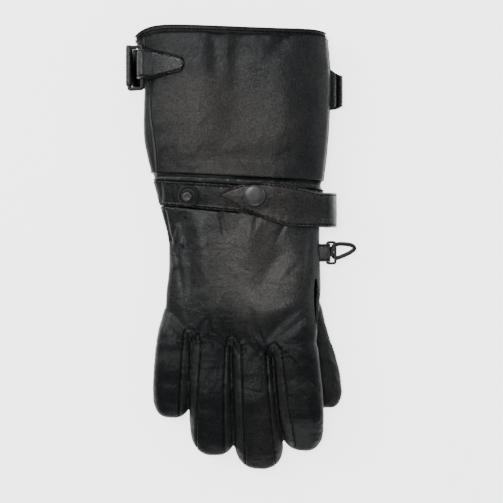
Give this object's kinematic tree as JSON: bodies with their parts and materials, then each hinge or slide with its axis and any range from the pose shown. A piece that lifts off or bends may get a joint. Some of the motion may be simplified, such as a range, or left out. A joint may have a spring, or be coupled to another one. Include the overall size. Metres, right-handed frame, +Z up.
{
  "type": "right-hand leather gauntlet glove",
  "caption": "Black leather riding gauntlet for the right hand, lying palm down, with a long cuff, a wrist strap with a snap, a cuff strap through a side ring, and a small clip.",
  "frame": {"origin": "middle of the glove's footprint, on the surface that it lies on", "axes": "+Z up out of the back of the hand, +Y from the fingertips to the cuff's hem, +X to the thumb side"},
  "size_m": [0.167, 0.3178, 0.034],
  "materials": {
    "leather": "semi-matte fine grain",
    "soft_leather": "matte soft grain",
    "strap_leather": "semi-matte with edge stitching",
    "snap_metal": "gunmetal",
    "dark_metal": "black oxide",
    "moulded": "satin moulded"
  },
  "bodies": {
    "root": {"cuff_back": "leather", "cuff_gusset": "leather", "cuff_palm": "leather", "cuff_binding": "leather", "wrist_gather": "leather", "wrist_band": "leather", "hand_back": "leather", "hand_palm": "leather", "fourchette_little_ring": "soft_leather", "fourchette_ring_middle": "soft_leather", "fourchette_middle_first": "soft_leather", "thumb": "soft_leather", "wrist_strap": "strap_leather", "snap_cap": "snap_metal", "snap_stud": "dark_metal", "cuff_tab": "strap_leather", "cuff_ring": "dark_metal", "cuff_strap": "strap_leather", "clip_tab": "strap_leather", "clip_ring": "snap_metal", "clip_hook": "moulded"}
  },
  "joints": []
}
